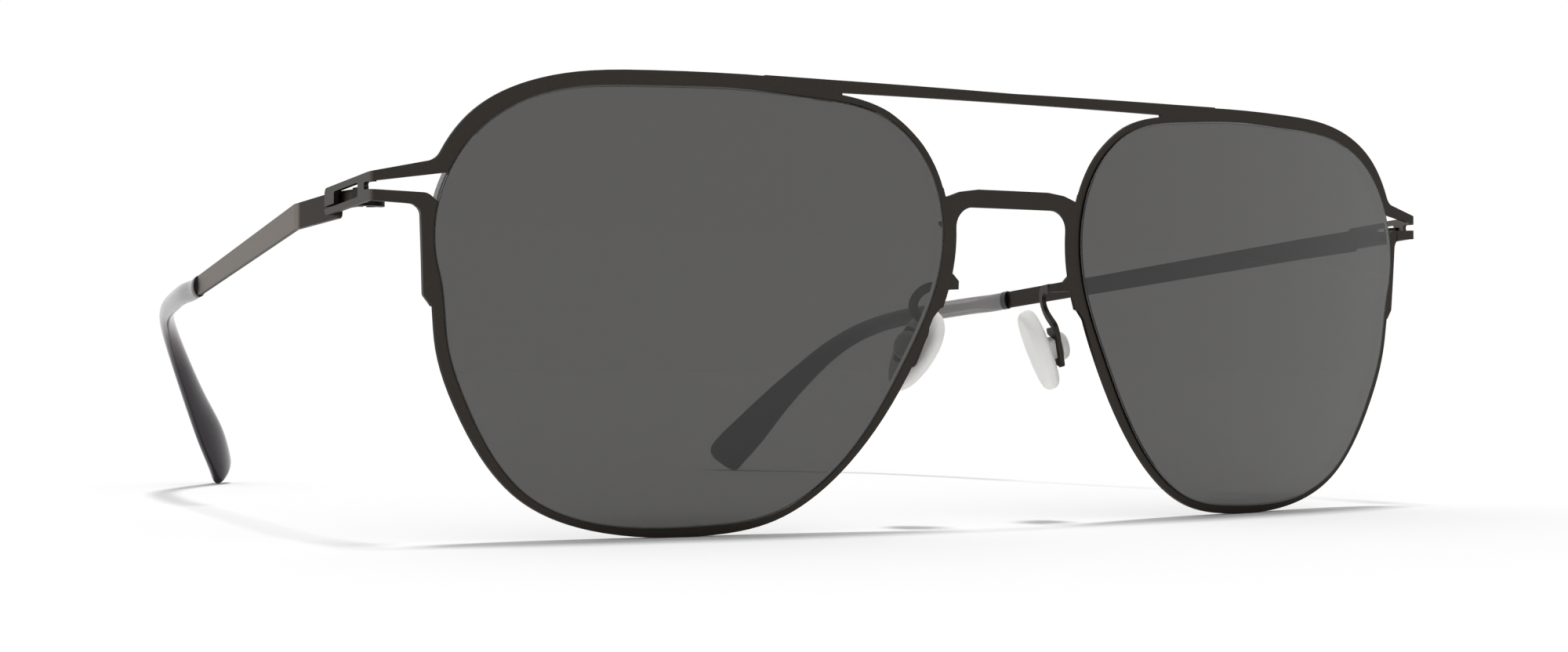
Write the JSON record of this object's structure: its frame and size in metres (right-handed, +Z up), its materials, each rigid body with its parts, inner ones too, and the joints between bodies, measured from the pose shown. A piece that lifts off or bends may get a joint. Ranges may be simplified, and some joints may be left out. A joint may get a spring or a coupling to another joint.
{
  "type": "aviator sunglasses",
  "caption": "Double-bridge aviator sunglasses in thin sheet metal, with teardrop tinted lenses, forked end pieces, rolled hinges, rocking nose pads and curved acetate temple tips.",
  "frame": {"origin": "centre of the footprint's width and length on the surface that the glasses stand on, under the middle of the nose gap", "axes": "+Z up, +Y from the front towards the temple tips, +X towards the wearer's left; the glasses stand on both rims and both tips, mirror-symmetric about X = 0"},
  "size_m": [0.144, 0.1448, 0.0486],
  "materials": {
    "front_metal": "satin black-brown plated sheet steel",
    "temple_metal": "satin grey-brown plated sheet steel",
    "spring_steel": "dark satin",
    "tinted_lens": "clear grey tint",
    "collar_plastic": "smooth black",
    "tip_acetate": "polished smoky translucent",
    "stud_plastic": "clear",
    "pad_silicone": "frosted translucent"
  },
  "bodies": {
    "front": {"brow_bar": "front_metal", "nose_bridge": "front_metal", "rim_left": "front_metal", "rim_right": "front_metal", "end_piece_left": "front_metal", "end_piece_right": "front_metal", "lens_left": "tinted_lens", "lens_right": "tinted_lens", "hinge_clip_left": "spring_steel", "hinge_clip_right": "spring_steel", "pad_arm_left": "front_metal", "pad_arm_right": "front_metal"},
    "temple_left": {"temple_left": "temple_metal", "tip_collar_left": "collar_plastic", "temple_tip_left": "tip_acetate"},
    "temple_right": {"temple_right": "temple_metal", "tip_collar_right": "collar_plastic", "temple_tip_right": "tip_acetate"},
    "pad_left": {"pad_stud_left": "stud_plastic", "nose_pad_left": "pad_silicone"},
    "pad_right": {"pad_stud_right": "stud_plastic", "nose_pad_right": "pad_silicone"}
  },
  "joints": [
    {"name": "temple_left_fold", "type": "hinge", "parent": "front", "child": "temple_left", "pos_m": [0.0698, -0.05653, 0.0348], "axis": [0, 0, 1], "range_deg": [0, 78]},
    {"name": "temple_right_fold", "type": "hinge", "parent": "front", "child": "temple_right", "pos_m": [-0.0698, -0.05653, 0.0348], "axis": [0, 0, -1], "range_deg": [0, 69]},
    {"name": "pad_left_rock", "type": "hinge", "parent": "front", "child": "pad_left", "pos_m": [0.01031, -0.06625, 0.02011], "axis": [0.2756, 0.9201, 0.2785], "range_deg": [-6, 6]},
    {"name": "pad_right_rock", "type": "hinge", "parent": "front", "child": "pad_right", "pos_m": [-0.01031, -0.06625, 0.02011], "axis": [-0.2756, 0.9201, 0.2785], "range_deg": [-6, 6]}
  ]
}
